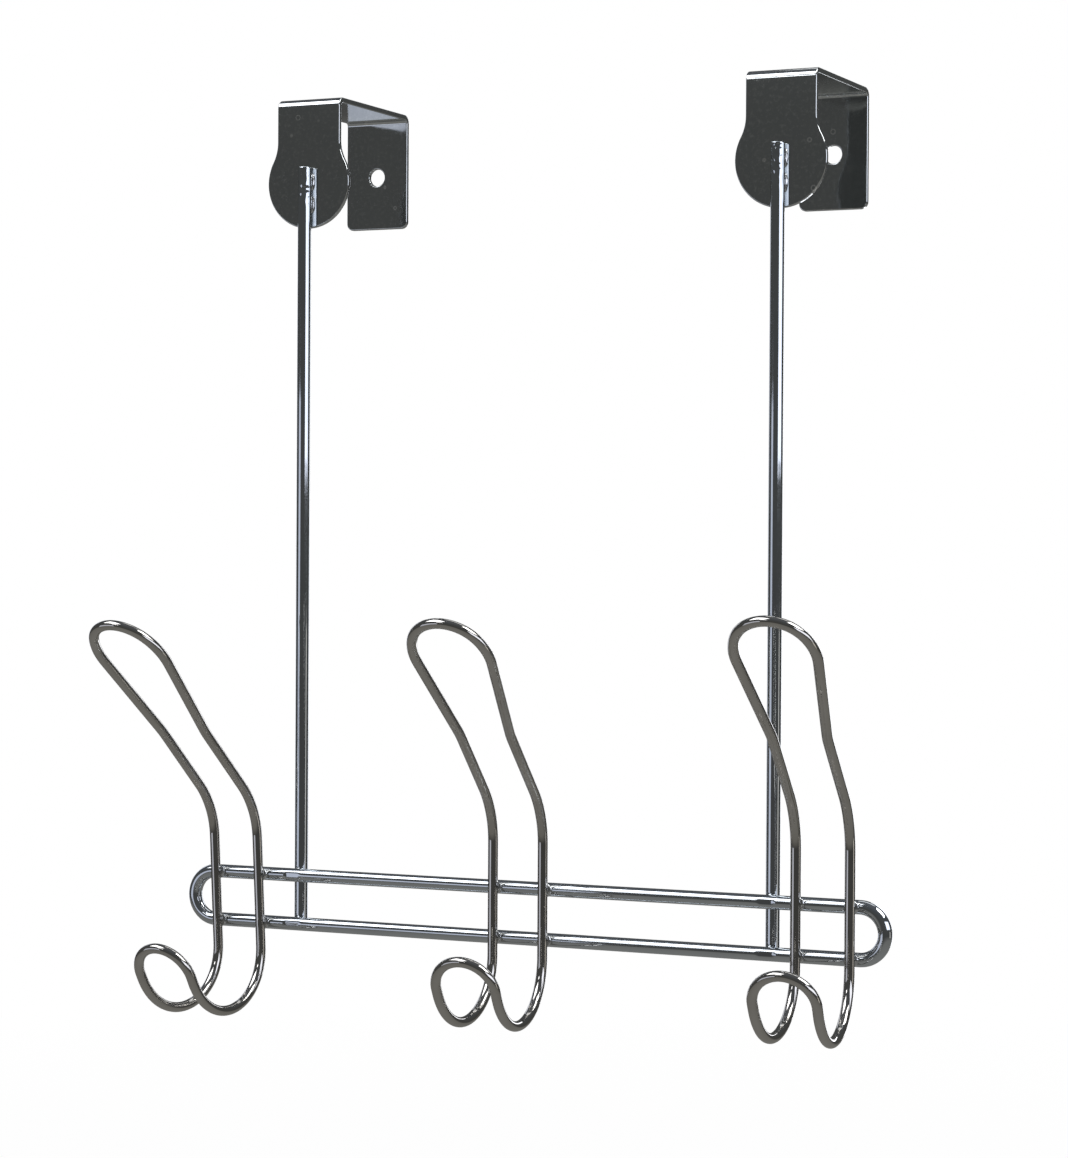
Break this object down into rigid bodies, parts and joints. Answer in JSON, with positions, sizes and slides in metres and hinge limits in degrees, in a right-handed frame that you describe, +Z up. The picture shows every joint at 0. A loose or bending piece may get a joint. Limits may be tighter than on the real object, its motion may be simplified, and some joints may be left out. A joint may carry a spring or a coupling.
{
  "type": "over-the-door bag hook rail",
  "caption": "Chrome wire bag holder that hangs over a door or panel: strip brackets, upright rods, a closed wire rail and double hooks.",
  "frame": {"origin": "midway between the two screw holes, on the door side of the back plates", "axes": "+X along the rail to the right as seen from the room, -Y towards the room and the hooks, +Y behind the door, +Z up"},
  "size_m": [0.2154, 0.1038, 0.259],
  "materials": {
    "strip_chrome": "polished chrome plate on bent steel strip",
    "rod_chrome": "polished chrome plate on drawn steel wire",
    "hook_chrome": "polished chrome plate on formed steel wire",
    "weld_metal": "chrome plate over resistance-weld metal"
  },
  "bodies": {
    "root": {"bracket_left": "strip_chrome", "bracket_right": "strip_chrome", "upright_left": "rod_chrome", "upright_right": "rod_chrome", "rail_loop": "rod_chrome", "hook_left": "hook_chrome", "hook_middle": "hook_chrome", "hook_right": "hook_chrome", "weld_bracket_left": "weld_metal", "weld_bracket_right": "weld_metal", "weld_upright_left": "weld_metal", "weld_upright_right": "weld_metal", "weld_hook_left": "weld_metal", "weld_hook_middle": "weld_metal", "weld_hook_right": "weld_metal"}
  },
  "joints": []
}
